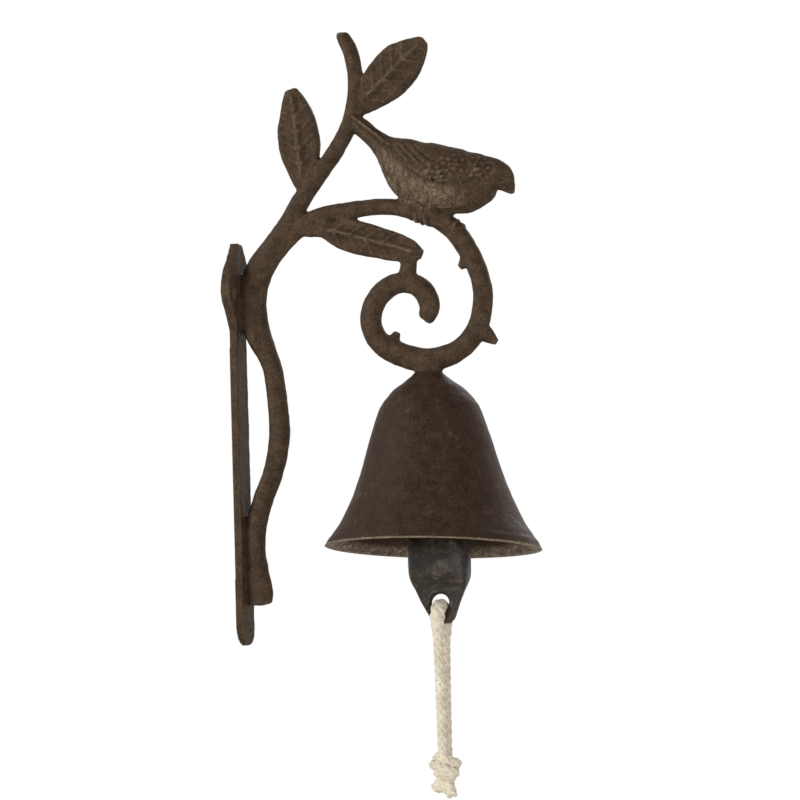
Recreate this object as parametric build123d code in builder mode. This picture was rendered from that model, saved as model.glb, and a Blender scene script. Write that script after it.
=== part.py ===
from build123d import *
import os
from math import atan2, cos, degrees, hypot, pi, radians, sin, tan

# Cast iron wall bell: a branch bracket with leaves, a scroll and a bird, and a bell bolted
# under the scroll. A hooked clapper carries a loop of cotton rope tied in a knot.
# Millimetres. X runs out of the wall, Z up, and the bracket lies in the plane Y = 0.
# The origin is at the centre of the wall strip's back face.

# Wall strip and pad
strip_length = 168.8
strip_width = 13.0
tongue_width = 14.8
strip_thick = 3.0
pad_thick = 3.6
pad_width = 32.6
pad_height = 64.0
screw_d = 4.6
screw_spacing = 20.0
upper_screw_z = 62.0

# Limbs of the casting, their depth across the bracket's plane
stem_depth = 9.2
root_depth = 11.0
scroll_depth = 8.8
leaf_depth = 6.0
leaf_arris = 1.5
vein_width = 1.3
vein_rise = 0.45
vein_reach = 0.33
wing_rise = 0.6
feather_gap = 0.7
eye_d = 2.8
toe_d = 2.4

# Bell
bell_x = 84.6
seat_z = 24.3
bell_mouth_d = 90.0
bell_height = 73.0
bell_neck_d = 11.8
bell_wall = 3.2
rim_slope_deg = 2.85
rim_spare = 2.8
crown_bore_d = 6.6
boss_d = 11.8

# Bolted hanger inside the bell
stud_d = 5.8
stud_in_bracket = 6.8
tap_clearance = 0.05
washer_d = 14.0
washer_thick = 1.5
nut_across_flats = 10.0
nut_thick = 5.0
eye_inner_d = 7.2
eye_wire_d = 3.2
eye_offset_x = 2.4
hanger_gap = 0.05

# Hook between the eye and the clapper
hook_wire_d = 2.8
hook_bend_d = 8.0
hook_length = 26.4

# Clapper
clapper_ring_inner_d = 6.8
clapper_ring_wire_d = 3.6
clapper_length = 61.2
clapper_width = 26.4
clapper_depth = 18.0
clapper_flat = 4.8
hole_edge_round = 2.1
rope_hole_d = 7.6
rope_hole_above_tip = 8.5

# Pull rope
rope_d = 4.2
rope_clearance = 0.3
rope_fold_radius = 5.0
rope_drop = 62.6
knot_strand_y = 3.2
knot_width = 13.6
knot_depth = 11.6
knot_height = 10.4
tail_length = 12.2

# Names worked out from the sizes above
hang_x = bell_x + eye_offset_x
strip_half = strip_length / 2
lower_screw_z = tongue_width / 2 - strip_half
crown_thick = 2 * bell_wall
crown_inner_z = seat_z - crown_thick
washer_bottom_z = crown_inner_z - washer_thick
nut_bottom_z = washer_bottom_z - nut_thick
eye_radius = (eye_inner_d + eye_wire_d) / 2
eye_z = nut_bottom_z - eye_radius - eye_wire_d / 2 - 0.2
hook_top_z = eye_z - eye_inner_d / 2 + hook_wire_d / 2 + hanger_gap
hook_bottom_z = hook_top_z - hook_length
ring_radius = (clapper_ring_inner_d + clapper_ring_wire_d) / 2
ring_z = hook_bottom_z + hook_wire_d / 2 + hanger_gap - clapper_ring_inner_d / 2
clapper_tip_z = ring_z + ring_radius + clapper_ring_wire_d / 2 - clapper_length
rope_hole_z = clapper_tip_z + rope_hole_above_tip
knot_top_z = rope_hole_z - rope_drop


def tangent(stations, i):
    """Direction of a limb's centre line at one station, from its two neighbours."""
    back = stations[max(i - 1, 0)]
    ahead = stations[min(i + 1, len(stations) - 1)]
    return Vector(ahead[0] - back[0], 0, ahead[1] - back[1])


def limb(stations):
    """Rounded bar in the plane Y = 0 through stations of x, z, width and depth."""
    with BuildPart() as bar:
        for i, (x, z, width, depth) in enumerate(stations):
            section = Plane(origin=(x, 0, z), x_dir=(0, 1, 0), z_dir=tangent(stations, i))
            with BuildSketch(section):
                Ellipse(depth / 2, width / 2)
        loft()
    return bar.part


def leaf_blade(stations):
    """Leaf with flat faces and a narrow rounded arris, through the same kind of stations."""
    with BuildPart() as blade:
        for i, (x, z, width, depth) in enumerate(stations):
            section = Plane(origin=(x, 0, z), x_dir=(0, 1, 0), z_dir=tangent(stations, i))
            with BuildSketch(section):
                RectangleRounded(depth, width, min(leaf_arris, 0.42 * min(depth, width)))
        loft()
    return blade.part


def ridge(start, end, side, face_y, end_share=0.5):
    """Raised vein from one x, z place to another on a leaf's face. Its section is a triangle
    that goes as deep into the face as it rises from it, and it narrows to its end."""
    run = Vector(end[0] - start[0], 0, end[1] - start[1])
    with BuildPart() as line:
        for (x, z), share in ((start, 1.0), (end, end_share)):
            section = Plane(origin=(x, side * face_y, z), x_dir=Vector(0, side, 0).cross(run), z_dir=run)
            half, rise = share * vein_width, share * vein_rise
            with BuildSketch(section):
                with BuildLine():
                    Polyline((-half, -rise), (half, -rise), (0, rise), close=True)
                make_face()
        loft()
    return line.part


def from_seat(stations):
    """Stations given from the bell's axis and seat, in the part's own frame."""
    return [(bell_x + x, seat_z + z, width, depth) for x, z, width, depth in stations]


# Stations of x, z, width and depth along each limb of the casting. The stem, the two upper
# leaves and the roots of the other limbs are measured from the wall, and what hangs over the
# bell is measured from the bell's axis and seat.
stem = [
    (8.6, -67.2, 9.4, 8.0),
    (8.3, -63.5, 11.2, stem_depth),
    (7.4, -55.0, 10.2, stem_depth),
    (6.6, -46.0, 9.0, stem_depth),
    (7.4, -35.0, 8.8, stem_depth),
    (10.8, -24.0, 8.4, stem_depth),
    (15.4, -13.0, 8.4, stem_depth),
    (18.3, -1.0, 8.7, stem_depth),
    (18.7, 10.0, 8.7, stem_depth),
    (17.0, 28.0, 8.1, stem_depth),
    (14.2, 37.0, 8.6, stem_depth),
    (11.4, 44.0, 10.8, root_depth),
    (9.2, 52.0, 12.8, root_depth),
    (9.4, 62.0, 13.4, root_depth),
    (12.6, 72.0, 12.4, root_depth),
    (19.0, 81.2, 11.0, stem_depth),
    (25.5, 90.5, 9.8, stem_depth),
    (30.9, 100.4, 7.8, 8.0),
    (39.0, 110.7, 7.1, 7.4),
    (46.8, 120.5, 7.0, 7.2),
    (53.0, 131.0, 6.9, 7.0),
    (56.0, 143.0, 6.6, 6.6),
    (56.2, 153.0, 6.5, 6.4),
    (54.8, 161.5, 6.4, 6.0),
    (52.6, 166.6, 5.4, 5.2),
    (51.1, 169.3, 3.0, 3.0),
]
scroll_root = [(26.0, 88.4, 8.0, 7.4)]
scroll = [
    (-45.2, 68.8, 7.9, 7.8),
    (-29.0, 70.8, 7.0, 7.6),
    (-13.7, 70.6, 6.9, 7.8),
    (1.8, 65.9, 7.8, scroll_depth),
    (11.8, 59.9, 8.5, scroll_depth),
    (18.7, 50.2, 8.6, scroll_depth),
    (23.6, 38.7, 8.0, scroll_depth),
    (24.6, 27.7, 8.3, scroll_depth),
    (21.3, 16.3, 8.8, scroll_depth),
    (13.0, 8.3, 9.0, scroll_depth),
    (0.0, 5.3, 9.8, scroll_depth),
    (-12.7, 8.9, 10.0, scroll_depth),
    (-21.3, 15.1, 9.2, scroll_depth),
    (-24.4, 23.4, 9.0, scroll_depth),
    (-21.8, 31.9, 9.1, scroll_depth),
    (-15.0, 37.6, 8.8, scroll_depth),
    (-7.2, 38.2, 8.7, scroll_depth),
    (-1.0, 34.3, 8.9, 8.6),
    (1.3, 28.1, 8.8, 8.2),
    (0.1, 23.5, 7.4, 7.0),
    (-1.0, 21.7, 4.6, 4.4),
]
left_leaf = [
    (34.2, 103.4, 5.0, 5.0),
    (32.4, 108.2, 8.2, leaf_depth),
    (31.8, 114.4, 13.2, leaf_depth),
    (31.2, 122.0, 17.4, leaf_depth),
    (30.4, 130.2, 17.4, leaf_depth),
    (29.9, 137.0, 14.4, leaf_depth),
    (29.2, 143.2, 8.8, 5.0),
    (28.5, 147.2, 3.6, 3.4),
]
top_leaf = [
    (56.0, 137.0, 7.0, 4.6),
    (60.0, 140.4, 11.2, leaf_depth),
    (65.0, 144.8, 16.2, leaf_depth),
    (70.6, 149.7, 19.2, leaf_depth),
    (77.0, 155.4, 18.6, leaf_depth),
    (82.0, 159.6, 13.4, 5.4),
    (85.8, 162.9, 7.0, 4.4),
    (87.4, 164.3, 3.2, 3.0),
]
low_leaf_root = [(27.2, 88.2, 6.4, 5.6), (33.2, 86.9, 8.4, 5.8)]
low_leaf = [
    (-44.6, 62.5, 8.6, leaf_depth),
    (-36.4, 61.3, 13.0, leaf_depth),
    (-29.0, 58.9, 13.8, leaf_depth),
    (-19.6, 55.9, 13.0, leaf_depth),
    (-11.6, 53.3, 11.8, leaf_depth),
    (-5.4, 51.1, 8.8, 5.2),
    (-1.2, 49.5, 3.4, 3.2),
]
neck = [
    (-6.7, 52.2, 6.4, 6.0),
    (-7.1, 46.7, 6.9, 6.4),
    (-8.4, 38.2, 8.0, 7.0),
]
# Short thorns: the root, a middle station and the tip
inner_thorn_right = [(19.9, 47.2, 8.0, 6.4), (17.0, 44.7, 5.2, 4.6), (15.0, 42.9, 2.4, 2.4)]
outer_thorn = [(21.4, 17.7, 9.6, 7.4), (26.4, 13.6, 6.4, 5.2), (30.3, 10.3, 2.2, 2.2)]
inner_thorn_left = [(-17.0, 11.3, 9.0, 7.0), (-14.6, 14.9, 5.4, 5.0), (-13.0, 17.9, 2.6, 2.6)]

# The bird, from tail end to beak tip: x, z, height and width
tail_end = [(54.4, 134.2, 3.4, 5.0), (57.9, 130.1, 7.6, 8.2)]
bird = [
    (-21.3, 100.6, 7.8, 8.4),
    (-15.8, 95.6, 11.4, 11.6),
    (-9.6, 90.1, 19.6, 16.6),
    (-2.6, 84.5, 26.0, 20.6),
    (7.4, 80.3, 27.4, 22.0),
    (17.9, 78.3, 25.4, 20.6),
    (25.7, 79.7, 20.6, 17.6),
    (31.6, 79.9, 15.0, 13.4),
    (35.3, 78.3, 11.2, 9.6),
    (37.6, 75.3, 5.6, 5.0),
    (39.1, 73.1, 2.2, 2.0),
]


# The bird's folded wing, the lines between its long feathers, its eye and its toes, all from
# the bell's axis and seat
wing_outline = [
    (-12.0, 96.9),
    (-8.3, 90.6),
    (-4.0, 85.5),
    (1.5, 81.9),
    (5.9, 79.7),
    (15.3, 77.2),
    (23.6, 75.6),
    (29.0, 78.6),
    (28.0, 84.6),
    (19.8, 86.8),
    (11.5, 90.0),
    (0.5, 94.6),
]
eye_place = (30.8, 5.7, 82.8)
toe_places = [(-3.0, 64.6), (-0.9, 64.2), (1.2, 63.4), (14.2, 60.0), (16.2, 58.4), (18.0, 56.4)]
feather_lines = [
    ((-12.5, 96.6), (-3.5, 86.6)),
    ((-9.2, 96.0), (1.6, 84.6)),
    ((-5.9, 95.8), (4.9, 84.3)),
    ((-1.5, 94.4), (8.3, 86.2)),
]


def toe(x, z, side):
    """Toe laid down the branch's side: a six-sided bar that narrows to its tip."""
    with BuildPart() as bar:
        for above, share in ((3.0, 0.7), (0.0, 1.0), (-2.2, 0.6)):
            place = (bell_x + x, side * (0.5 * scroll_depth - 0.9), seat_z + z + above)
            with BuildSketch(Plane(origin=place)):
                RegularPolygon(share * toe_d / 2, 6)
        loft(ruled=True)
    return bar.part


def wings():
    """Wings on both sides of the bird: its body drawn fuller and kept only inside the wings'
    outline, with a gap along each line between feathers."""
    fuller = [(x, z, height + 2 * wing_rise, width + 2 * wing_rise) for x, z, height, width in from_seat(bird)]
    with BuildPart() as wing:
        add(limb(fuller))
        with BuildSketch(Plane.XZ):
            with BuildLine():
                Spline(*[(bell_x + x, seat_z + z) for x, z in wing_outline], periodic=True)
            make_face()
            for (x, z), (end_x, end_z) in feather_lines:
                turn = degrees(atan2(end_z - z, end_x - x))
                with Locations(Location((bell_x + (x + end_x) / 2, seat_z + (z + end_z) / 2), turn)):
                    Rectangle(hypot(end_x - x, end_z - z), feather_gap, mode=Mode.SUBTRACT)
        extrude(amount=20.0, both=True, mode=Mode.INTERSECT)
    return wing.part


def leaf_veins(leaf):
    """Midrib along a leaf's stations and pairs of side veins that lean to its tip, on both faces."""
    lines = []
    inner = leaf[1:-1]
    for side in (-1, 1):
        for here, ahead in ((inner[0], inner[2]), (inner[2], inner[-1])):
            lines.append(ridge(here[:2], ahead[:2], side, ahead[3] / 2, end_share=1.0))
        for (x, z, width, depth), ahead in zip(inner[1:], inner[2:]):
            along = Vector(ahead[0] - x, 0, ahead[1] - z)
            unit = along.normalized()
            for way in (-1, 1):
                reach = vein_reach * min(width, ahead[2]) * way
                tip = (x + 0.85 * along.X - unit.Z * reach, z + 0.85 * along.Z + unit.X * reach)
                lines.append(ridge((x, z), tip, side, depth / 2, end_share=0.5))
    return lines


def ring_of_pad(side):
    """Half outline of the pad above the strip, from its top to where it meets the strip."""
    half = pad_width / 2
    top = strip_half
    return [
        (side * 0.16 * half, top),
        (side * 0.44 * half, top - 6.0),
        (side * 0.84 * half, pad_height + 7.0),
        (side * half, pad_height),
        (side * 0.93 * half, pad_height - 5.5),
        (side * 0.66 * half, pad_height - 10.5),
        (side * strip_width / 2, pad_height - 17.0),
    ]


# Bracket: strip, pad, limbs, leaves and bird are one casting
with BuildPart() as bracket:
    with BuildSketch(Plane.YZ):
        with BuildLine():
            Polyline(
                (strip_width / 2, pad_height),
                (tongue_width / 2, lower_screw_z),
                (-tongue_width / 2, lower_screw_z),
                (-strip_width / 2, pad_height),
                close=True,
            )
        make_face()
        with Locations((0, lower_screw_z)):
            Circle(tongue_width / 2)
    extrude(amount=strip_thick)
    with BuildSketch(Plane.YZ):
        with BuildLine():
            right_side = Spline(*ring_of_pad(1))
            left_side = Spline(*ring_of_pad(-1))
            Line(right_side @ 0, left_side @ 0)
            Line(right_side @ 1, left_side @ 1)
        make_face()
    extrude(amount=pad_thick)
    add(limb(stem))
    add(limb(scroll_root + from_seat(scroll)))
    add(limb(tail_end + from_seat(bird)))
    for leaf in (left_leaf, top_leaf, low_leaf_root + from_seat(low_leaf)):
        add(leaf_blade(leaf))
        add(leaf_veins(leaf))
    add(wings())
    for stations in (neck, inner_thorn_right, outer_thorn, inner_thorn_left):
        add(limb(from_seat(stations)))
    # Eyes, and toes that grip the branch, on both sides
    for side in (-1, 1):
        with Locations((bell_x + eye_place[0], side * eye_place[1], seat_z + eye_place[2])):
            Sphere(eye_d / 2)
        add([toe(x, z, side) for x, z in toe_places])
    # Boss under the scroll, with a flat seat and a tapped hole for the stud
    with BuildSketch(Plane.XY.offset(seat_z)):
        with Locations((bell_x, 0)):
            Circle(boss_d / 2)
    extrude(amount=4.0)
    with BuildSketch(Plane.XY.offset(seat_z)):
        with Locations((bell_x, 0)):
            Circle(stud_d / 2 + tap_clearance)
    extrude(amount=stud_in_bracket + 0.2, mode=Mode.SUBTRACT)
    # Screw holes in the pad and the tongue
    with BuildSketch(Plane.YZ):
        with Locations(
            (screw_spacing / 2, upper_screw_z),
            (-screw_spacing / 2, upper_screw_z),
            (0, lower_screw_z),
        ):
            Circle(screw_d / 2)
    extrude(amount=pad_thick + 1.0, mode=Mode.SUBTRACT)

# Bell: radius and depth below the seat along its outside, as shares of the mouth's radius
# and of the bell's height, with a spare length past the rim for the grinding cut
mouth_r = bell_mouth_d / 2
bell_low_z = seat_z - bell_height
profile_shares = [
    (0.160, 0.019),
    (0.231, 0.055),
    (0.324, 0.096),
    (0.404, 0.151),
    (0.458, 0.200),
    (0.502, 0.268),
    (0.549, 0.356),
    (0.607, 0.479),
    (0.669, 0.601),
    (0.733, 0.707),
    (0.807, 0.808),
    (0.873, 0.882),
    (0.949, 0.947),
    (1.000, 1.000),
]
outside = [(bell_neck_d / 2, seat_z)]
for share_r, share_z in profile_shares:
    outside.append((share_r * mouth_r, seat_z - share_z * bell_height))
outside.append((mouth_r + 0.62 * rim_spare, bell_low_z - rim_spare))


def inset(points, wall):
    """Points moved by the wall's thickness along the profile's own normal, to the inside."""
    moved = []
    for i, (r, z) in enumerate(points):
        back_r, back_z = points[max(i - 1, 0)]
        ahead_r, ahead_z = points[min(i + 1, len(points) - 1)]
        run = hypot(ahead_r - back_r, ahead_z - back_z)
        moved.append((r + wall * (ahead_z - back_z) / run, z - wall * (ahead_r - back_r) / run))
    return moved


crown_flat_r = washer_d / 2 + 2.0
inside = [(r, z) for r, z in inset(outside, bell_wall) if r > crown_flat_r + 1.0 and z < crown_inner_z - 0.8]
inside.insert(0, (crown_flat_r, crown_inner_z))
crown_bore_r = crown_bore_d / 2

with BuildPart() as bell:
    with BuildSketch(Plane.XZ):
        with BuildLine():
            shoulder = Spline(*[(bell_x + r, z) for r, z in outside])
            hollow = Spline(*[(bell_x + r, z) for r, z in inside])
            Line(shoulder @ 1, hollow @ 1)
            Polyline(
                hollow @ 0,
                (bell_x + crown_bore_r, crown_inner_z),
                (bell_x + crown_bore_r, seat_z),
                shoulder @ 0,
            )
        make_face()
    revolve(axis=Axis((bell_x, 0, 0), (0, 0, 1)))
    # The rim was ground out of square, lower on the side away from the wall
    rim_normal = (-sin(radians(rim_slope_deg)), 0, -cos(radians(rim_slope_deg)))
    split(bisect_by=Plane(origin=(bell_x, 0, bell_low_z), z_dir=rim_normal), keep=Keep.BOTTOM)

# Eye bolt: a stud screwed up into the bracket, with its eye under the nut
with BuildPart() as eye_bolt:
    stud_top_z = seat_z + stud_in_bracket
    stud_low_z = eye_z + eye_radius - eye_wire_d / 4
    with BuildSketch(Plane.XY.offset(stud_low_z)):
        with Locations((bell_x, 0)):
            Circle(stud_d / 2)
    extrude(amount=stud_top_z - stud_low_z)
    with BuildSketch(Plane.XY.offset(eye_z)):
        with Locations((hang_x + eye_radius, 0)):
            Circle(eye_wire_d / 2)
    revolve(axis=Axis((hang_x, 0, eye_z), (0, 1, 0)))

with BuildPart() as washer:
    with BuildSketch(Plane.XY.offset(washer_bottom_z)):
        with Locations((bell_x, 0)):
            Circle(washer_d / 2)
            Circle(stud_d / 2 + 0.3, mode=Mode.SUBTRACT)
    extrude(amount=washer_thick)

with BuildPart() as lock_nut:
    with BuildSketch(Plane.XY.offset(nut_bottom_z)):
        with Locations((bell_x, 0)):
            RegularPolygon(nut_across_flats / 2, 6, major_radius=False)
            Circle(stud_d / 2 + tap_clearance, mode=Mode.SUBTRACT)
    extrude(amount=nut_thick)

# Hook: one wire bent to a loop at each end, the lower loop turned a quarter turn
bend_r = hook_bend_d / 2
with BuildPart() as clapper_hook:
    with BuildLine() as hook_path:
        FilletPolyline(
            (hang_x, -bend_r, hook_top_z - 1.7 * bend_r),
            (hang_x, -bend_r, hook_top_z),
            (hang_x, bend_r, hook_top_z),
            (hang_x, bend_r, hook_top_z - 1.75 * bend_r),
            (hang_x, 0, hook_top_z - 2.75 * bend_r),
            (hang_x, 0, hook_bottom_z + 2.75 * bend_r),
            (hang_x + bend_r, 0, hook_bottom_z + 1.75 * bend_r),
            (hang_x + bend_r, 0, hook_bottom_z),
            (hang_x - bend_r, 0, hook_bottom_z),
            (hang_x - bend_r, 0, hook_bottom_z + 1.7 * bend_r),
            radius=[0.98 * bend_r, 0.98 * bend_r, bend_r, bend_r, bend_r, bend_r, 0.98 * bend_r, 0.98 * bend_r],
        )
    with BuildSketch(Plane(origin=hook_path.line @ 0, z_dir=hook_path.line % 0)):
        Circle(hook_wire_d / 2)
    sweep(path=hook_path.line)

# Clapper: a ring and a pear-shaped body drawn down to a flat tongue. Each section's height
# is its share of the way from the ring's lower side to the tip.
clapper_shares = [
    (0.02, 6.6, 5.6),
    (0.08, 9.6, 8.2),
    (0.17, 18.0, 13.6),
    (0.30, 0.955 * clapper_width, 0.98 * clapper_depth),
    (0.46, clapper_width, clapper_depth),
    (0.57, 0.977 * clapper_width, 0.87 * clapper_depth),
    (0.65, 0.894 * clapper_width, 0.53 * clapper_depth),
    (0.715, 0.780 * clapper_width, clapper_flat + 0.4),
    (0.80, 0.644 * clapper_width, clapper_flat),
    (0.88, 0.508 * clapper_width, clapper_flat),
    (0.957, 0.371 * clapper_width, clapper_flat),
    (1.00, 0.242 * clapper_width, 0.8 * clapper_flat),
]
body_top_z = ring_z - ring_radius
clapper_sections = []
for share, width, depth in clapper_shares:
    z = body_top_z + share * (clapper_tip_z - body_top_z)
    clapper_sections.append((z, width, depth))

with BuildPart() as clapper:
    for z, width, depth in clapper_sections:
        with BuildSketch(Plane.XY.offset(z)):
            with Locations((hang_x, 0)):
                RectangleRounded(width, depth, 0.46 * depth)
    loft()
    with BuildSketch(Plane.XZ):
        with Locations((hang_x, ring_z - ring_radius)):
            Circle(clapper_ring_wire_d / 2)
    revolve(axis=Axis((hang_x, 0, ring_z), (1, 0, 0)))
    # Rope hole with its edge rounded over, turned about the hole's own axis
    hole_r = rope_hole_d / 2
    with BuildSketch(Plane.XY.offset(rope_hole_z)):
        with BuildLine():
            edge_y = hole_edge_round
            flare_x = hang_x + hole_r + edge_y
            ThreePointArc((flare_x, -edge_y), (hang_x + hole_r, 0), (flare_x, edge_y))
            Polyline(
                (flare_x, edge_y),
                (flare_x, clapper_depth),
                (hang_x, clapper_depth),
                (hang_x, -clapper_depth),
                (flare_x, -clapper_depth),
                (flare_x, -edge_y),
            )
        make_face()
    revolve(axis=Axis((hang_x, 0, rope_hole_z), (0, 1, 0)), mode=Mode.SUBTRACT)

# Pull rope: one length through the hole, its two ends going into the knot
rope_top_z = rope_hole_z - rope_hole_d / 2 + rope_d / 2 + rope_clearance
half_route = [
    (knot_strand_y, knot_top_z),
    (knot_strand_y, knot_top_z + 0.15 * rope_drop),
    (0.5 * (knot_strand_y + rope_fold_radius) - 0.4, knot_top_z + 0.41 * rope_drop),
    (rope_fold_radius, knot_top_z + 0.76 * rope_drop),
    (rope_fold_radius, rope_top_z),
]
front_half = [(hang_x, -y, z) for y, z in half_route]
rear_half = [(hang_x, y, z) for y, z in reversed(half_route)]
rope_route = front_half + rear_half


def corner_radii(route, tightest):
    """Largest arc each corner's two runs allow, and the fold's own radius where it is tight."""
    radii = []
    for back, here, ahead in zip(route, route[1:], route[2:]):
        before = Vector(*here) - Vector(*back)
        after = Vector(*ahead) - Vector(*here)
        turn = radians(before.get_angle(after))
        run = min(before.length, after.length)
        free = 0.45 * run / tan(turn / 2)
        radii.append(tightest if turn > pi / 4 else free)
    return radii


rope_radii = corner_radii(rope_route, 0.98 * rope_fold_radius)
with BuildPart() as pull_rope:
    with BuildLine() as rope_path:
        FilletPolyline(*rope_route, radius=rope_radii)
    with BuildSketch(Plane(origin=rope_path.line @ 0, z_dir=rope_path.line % 0)):
        Circle(rope_d / 2)
    sweep(path=rope_path.line)

# Knot with its two cut tails
knot_sections = [
    (knot_top_z, 7.4, 0.99 * knot_depth),
    (knot_top_z - 2.2, 0.92 * knot_width, knot_depth),
    (knot_top_z - 5.2, knot_width, knot_depth),
    (knot_top_z - 8.2, 0.82 * knot_width, 0.84 * knot_depth),
    (knot_top_z - knot_height, 0.5 * knot_width, 0.6 * knot_depth),
]
tail_root_z = knot_top_z - 0.67 * knot_height
tails = [
    ((hang_x - 1.0, 1.2, tail_root_z), (hang_x - 6.4, 1.6, tail_root_z - 0.66 * tail_length)),
    ((hang_x + 0.8, -1.2, tail_root_z), (hang_x + 2.9, -1.6, tail_root_z - tail_length)),
]
with BuildPart() as rope_knot:
    for z, width, depth in knot_sections:
        with BuildSketch(Plane.XY.offset(z)):
            with Locations((hang_x, 0)):
                Ellipse(width / 2, depth / 2)
    loft()
    for root, end in tails:
        along = Vector(*end) - Vector(*root)
        with BuildSketch(Plane(origin=root, z_dir=along)):
            Circle(rope_d / 2)
        extrude(amount=along.length)

os.makedirs("parts", exist_ok=True)
pieces = {
    "bracket": bracket,
    "bell": bell,
    "eye_bolt": eye_bolt,
    "washer": washer,
    "lock_nut": lock_nut,
    "clapper_hook": clapper_hook,
    "clapper": clapper,
    "pull_rope": pull_rope,
    "rope_knot": rope_knot,
}
for name, piece in pieces.items():
    piece.part.label = name
    export_step(piece.part, f"parts/{name}.step")

rope_length = sum(edge.length for edge in rope_path.edges())
rope_section = pi * rope_d**2 / 4
print("rope arc radii, mm:", [round(r, 1) for r in rope_radii])
print("rope length, mm:", round(rope_length, 1))
print("rope volume over section times length:", round(pull_rope.part.volume / rope_section / rope_length, 4))
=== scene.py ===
"""Cast iron wall bell: a branch bracket with leaves, scroll and bird, a bell, and a roped clapper.

Shapes are worked out in millimetres in the frame's own axes: X out of the wall, Z up, and the
casting in the plane Y = 0. They are turned into metres where a mesh is made.
"""
import math

import bpy
import numpy as np
from mathutils import Matrix, Vector


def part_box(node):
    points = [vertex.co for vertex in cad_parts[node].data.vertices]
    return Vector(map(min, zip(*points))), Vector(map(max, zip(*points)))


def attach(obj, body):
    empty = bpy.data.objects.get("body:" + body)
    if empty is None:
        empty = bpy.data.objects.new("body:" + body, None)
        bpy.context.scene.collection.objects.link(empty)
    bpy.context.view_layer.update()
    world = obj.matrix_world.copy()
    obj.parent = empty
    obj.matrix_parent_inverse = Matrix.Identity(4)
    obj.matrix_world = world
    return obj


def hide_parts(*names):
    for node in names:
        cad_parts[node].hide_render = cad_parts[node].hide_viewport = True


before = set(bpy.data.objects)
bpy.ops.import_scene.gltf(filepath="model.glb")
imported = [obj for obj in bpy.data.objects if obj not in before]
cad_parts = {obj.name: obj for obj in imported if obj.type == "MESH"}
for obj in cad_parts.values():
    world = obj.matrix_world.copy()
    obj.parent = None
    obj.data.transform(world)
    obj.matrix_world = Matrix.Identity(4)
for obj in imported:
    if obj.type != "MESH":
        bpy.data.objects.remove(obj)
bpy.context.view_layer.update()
MM = 0.001
TAU = 2 * math.pi


def node_box(node):
    """Lowest and highest corner of a CAD node in millimetres."""
    low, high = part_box(node)
    return np.array(low) / MM, np.array(high) / MM


# Driving places, read from the frame
washer_low, washer_high = node_box("washer")
_, bell_high = node_box("bell")
clapper_low, clapper_high = node_box("clapper")
hook_low, hook_high = node_box("clapper_hook")
eye_low, eye_high = node_box("eye_bolt")
nut_low, nut_high = node_box("lock_nut")
bell_x = (washer_low[0] + washer_high[0]) / 2
seat_z = bell_high[2]
hang_x = (clapper_low[0] + clapper_high[0]) / 2


# Mesh building

def piece_from(name, verts, faces):
    """Smooth mesh object at the origin from vertices in millimetres and a list of face loops."""
    mesh = bpy.data.meshes.new(name)
    mesh.from_pydata((np.asarray(verts) * MM).tolist(), [], [list(f) for f in faces])
    mesh.shade_smooth()
    mesh.update()
    obj = bpy.data.objects.new(name, mesh)
    bpy.context.scene.collection.objects.link(obj)
    return obj


def quads(rows, cols, closed_rows=False, closed_cols=True):
    """Quads of a grid stored row by row, closed round its columns and, if asked, its rows."""
    r = np.arange(rows if closed_rows else rows - 1)
    c = np.arange(cols if closed_cols else cols - 1)
    r0, c0 = np.meshgrid(r, c, indexing="ij")
    r1, c1 = (r0 + 1) % rows, (c0 + 1) % cols
    return np.stack([r0 * cols + c0, r0 * cols + c1, r1 * cols + c1, r1 * cols + c0], -1).reshape(-1, 4)


def capped(rings):
    """Closed skin of an array of rings (rows, sides, 3): quads between rings and a fan at each end."""
    rows, sides, _ = rings.shape
    verts = np.concatenate([rings.reshape(-1, 3), rings[0].mean(0)[None], rings[-1].mean(0)[None]])
    faces = quads(rows, sides).tolist()
    first, last = rows * sides, rows * sides + 1
    ring = np.arange(sides)
    following = (ring + 1) % sides
    faces += [[first, b, a] for a, b in zip(ring.tolist(), following.tolist())]
    start = (rows - 1) * sides
    faces += [[last, start + a, start + b] for a, b in zip(ring.tolist(), following.tolist())]
    return verts, faces


def outward(verts, faces):
    """Faces turned over if the skin's signed volume is negative, so that they point outwards."""
    four = np.array([f for f in faces if len(f) == 4], np.int64).reshape(-1, 4)
    three = np.array([f for f in faces if len(f) == 3], np.int64).reshape(-1, 3)
    corners = verts[np.concatenate([three, four[:, :3], four[:, [0, 2, 3]]])]
    volume = np.sum(corners[:, 0] * np.cross(corners[:, 1], corners[:, 2]))
    return faces if volume > 0 else [f[::-1] for f in faces]


def merged(parts):
    """Several skins of (vertices, faces) as one."""
    verts, faces, start = [], [], 0
    for part_verts, part_faces in parts:
        verts.append(part_verts)
        faces += [[i + start for i in f] for f in outward(part_verts, part_faces)]
        start += len(part_verts)
    return np.concatenate(verts), faces


def through(stations, step):
    """Catmull-Rom curve through rows of numbers, about one row for each step of its length."""
    p = np.asarray(stations, float)
    p = np.concatenate([[2 * p[0] - p[1]], p, [2 * p[-1] - p[-2]]])
    rows = []
    for a, b, c, d in zip(p, p[1:], p[2:], p[3:]):
        n = max(2, int(np.linalg.norm((c - b)[:2]) / step))
        t = np.linspace(0, 1, n, endpoint=False)[:, None]
        rows.append(0.5 * (2 * b + (c - a) * t + (2 * a - 5 * b + 4 * c - d) * t**2
                           + (3 * b - a - 3 * c + d) * t**3))
    rows.append(p[-2][None])
    return np.concatenate(rows)


def power(value, n):
    """Signed power, the building block of a superellipse: exponent 2/n of a sine or cosine."""
    return np.sign(value) * np.abs(value) ** (2.0 / n)


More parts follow.
